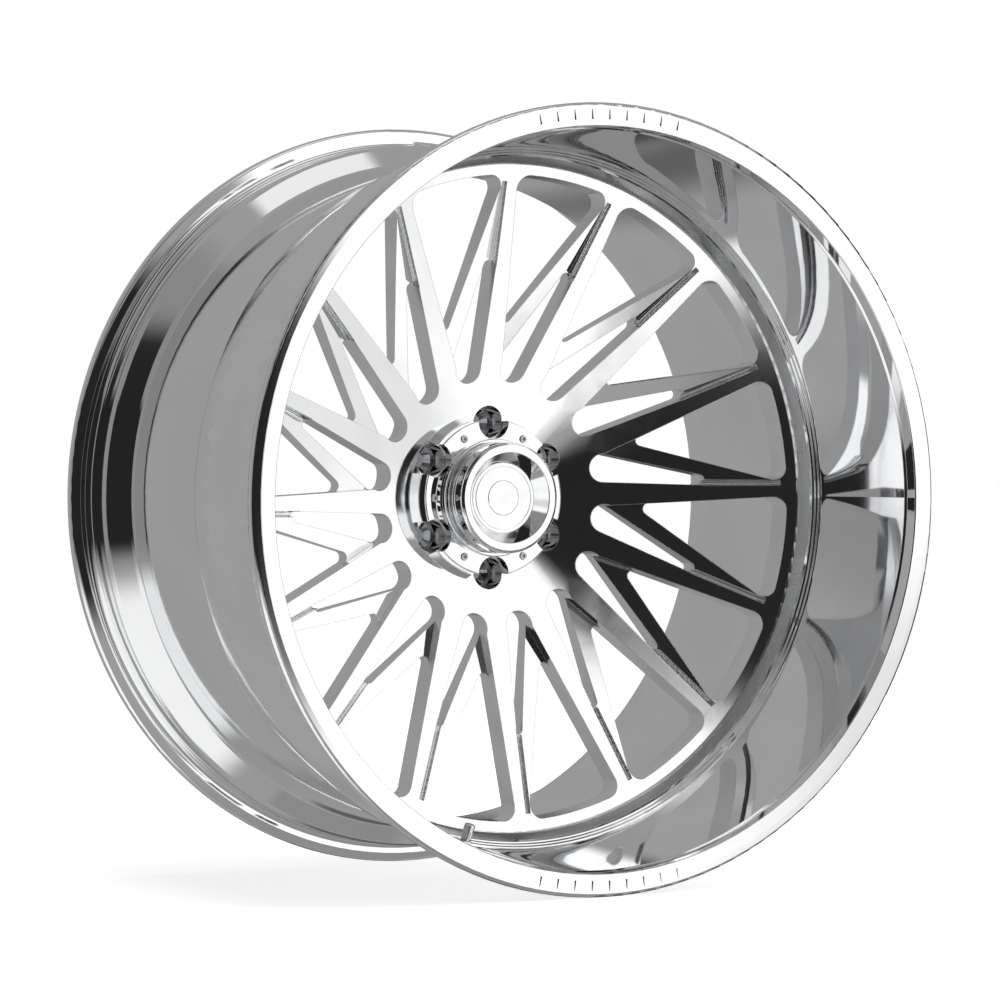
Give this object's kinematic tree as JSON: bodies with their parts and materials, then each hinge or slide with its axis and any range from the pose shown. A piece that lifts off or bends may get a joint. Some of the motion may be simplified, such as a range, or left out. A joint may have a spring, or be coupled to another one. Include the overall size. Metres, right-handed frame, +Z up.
{
  "type": "forged racing wheel rim",
  "caption": "Deep-dish forged wheel rim with slim swept spokes and lower blades beside them, a bolt-on centre cap, a stepped welded barrel and a clamp-in tyre valve.",
  "frame": {"origin": "on the wheel axis at the rim's mid-plane, halfway between the two bead seats", "axes": "+Y along the wheel axis towards the hub (the front, street side faces -Y), +Z up, +X to the right seen from the front"},
  "size_m": [0.7002, 0.3859, 0.7002],
  "materials": {
    "polished_aluminium": "mirror polished forged aluminium",
    "ground_weld": "turned and polished weld metal",
    "raw_weld": "brushed weld metal",
    "chromed_aluminium": "bright chrome",
    "satin_disc": "fine satin with a bright rim",
    "foam_pad": "closed-cell adhesive foam",
    "black_rubber": "moulded rubber",
    "stainless_screw": "polished stainless steel",
    "chromed_brass": "chrome plated brass",
    "bare_brass": "turned brass",
    "seal_plastic": "moulded seal plastic",
    "spring_steel": "drawn spring wire"
  },
  "bodies": {
    "wheel": {"rim_barrel": "polished_aluminium", "wheel_centre": "polished_aluminium", "front_weld_bead": "ground_weld", "rear_weld_bead": "raw_weld", "valve_stem": "chromed_brass", "valve_grommet": "black_rubber", "valve_washer": "chromed_brass", "valve_nut": "chromed_brass", "valve_core_body": "bare_brass", "valve_core_gasket": "seal_plastic", "valve_spring": "spring_steel"},
    "centre_cap": {"cap_base": "chromed_aluminium", "cap_head": "chromed_aluminium", "cap_disc": "satin_disc", "cap_disc_pad": "foam_pad", "cap_o_ring": "black_rubber", "cap_screws": "stainless_screw"},
    "valve_pin": {"valve_pin": "bare_brass", "valve_pin_seal": "black_rubber"},
    "valve_cap_seal": {"valve_cap_seal": "black_rubber"},
    "valve_cap": {"valve_cap": "chromed_brass"}
  },
  "joints": [
    {"name": "cap_lift_off", "type": "slide", "parent": "wheel", "child": "centre_cap", "axis": [0, -1, 0], "range_m": [0, 0.07]},
    {"name": "valve_pin_press", "type": "slide", "parent": "wheel", "child": "valve_pin", "axis": [-0.2366, 0.2079, -0.9491], "range_m": [0, 0.0015], "stiffness_N_per_m": 500, "springref_m": -0.004},
    {"name": "valve_cap_rise", "type": "slide", "parent": "wheel", "child": "valve_cap_seal", "axis": [0.2366, -0.2079, 0.9491], "range_m": [0, 0.00397]},
    {"name": "valve_cap_turn", "type": "hinge", "parent": "valve_cap_seal", "child": "valve_cap", "pos_m": [-0.07775, -0.06749, -0.31185], "axis": [0.2366, -0.2079, 0.9491], "range_deg": [0, 1800]}
  ],
  "couplings": [
    {"joint": "valve_cap_turn", "follows": "valve_cap_rise", "rad_per_m": 7915.8}
  ]
}
